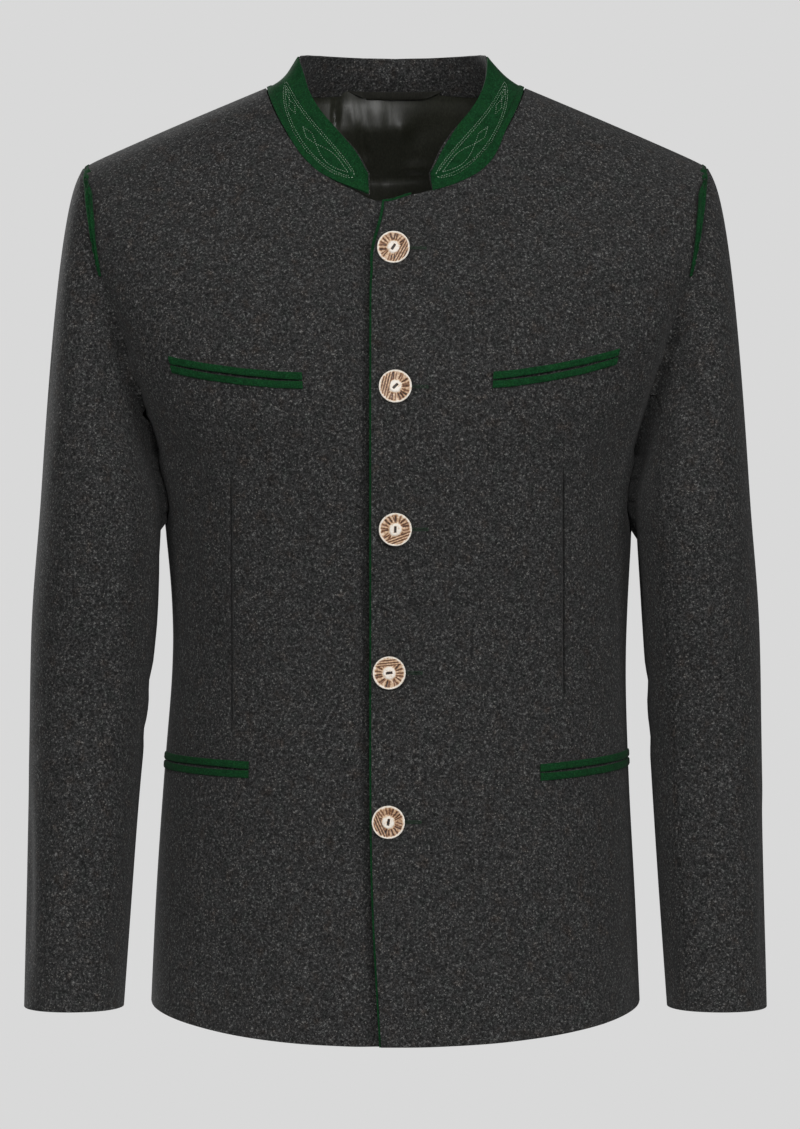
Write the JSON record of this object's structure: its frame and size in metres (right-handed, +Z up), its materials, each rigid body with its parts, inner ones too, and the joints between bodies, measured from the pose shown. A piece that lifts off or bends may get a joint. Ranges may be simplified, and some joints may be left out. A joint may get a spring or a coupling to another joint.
{
  "type": "trachten jacket",
  "caption": "Wool trachten jacket with a green embroidered stand collar, green welt pockets and horn-style buttons, hollow and filled out as on a wearer, held at the shoulders",
  "frame": {"origin": "midway between the two points where the shoulder seams meet the foot of the collar, where the wearer carries the jacket", "axes": "+Z up from hem to collar, -Y the front with the buttons, +X the wearer's left"},
  "size_m": [0.5722, 0.2662, 0.7641],
  "materials": {
    "wool": "charcoal melange woollen cloth, matt",
    "green_felt": "dark green wool felt, matt",
    "satin_lining": "dark olive satin, soft sheen",
    "horn": "carved stag-horn style, satin"
  },
  "bodies": {
    "root": {"front_left": "wool", "front_right": "wool", "back_left": "wool", "back_right": "wool", "top_sleeve_left": "wool", "top_sleeve_right": "wool", "under_sleeve_left": "wool", "under_sleeve_right": "wool", "collar_inner": "wool", "collar_outer": "green_felt", "armhole_piping_left": "green_felt", "armhole_piping_right": "green_felt", "front_edge_piping": "green_felt", "welt_chest_left_upper": "green_felt", "welt_chest_left_lower": "green_felt", "welt_chest_right_upper": "green_felt", "welt_chest_right_lower": "green_felt", "welt_hip_left_upper": "green_felt", "welt_hip_left_lower": "green_felt", "welt_hip_right_upper": "green_felt", "welt_hip_right_lower": "green_felt", "lining_back": "satin_lining", "hanger_loop": "satin_lining", "button_1": "horn", "button_2": "horn", "button_3": "horn", "button_4": "horn", "button_5": "horn"}
  },
  "joints": []
}
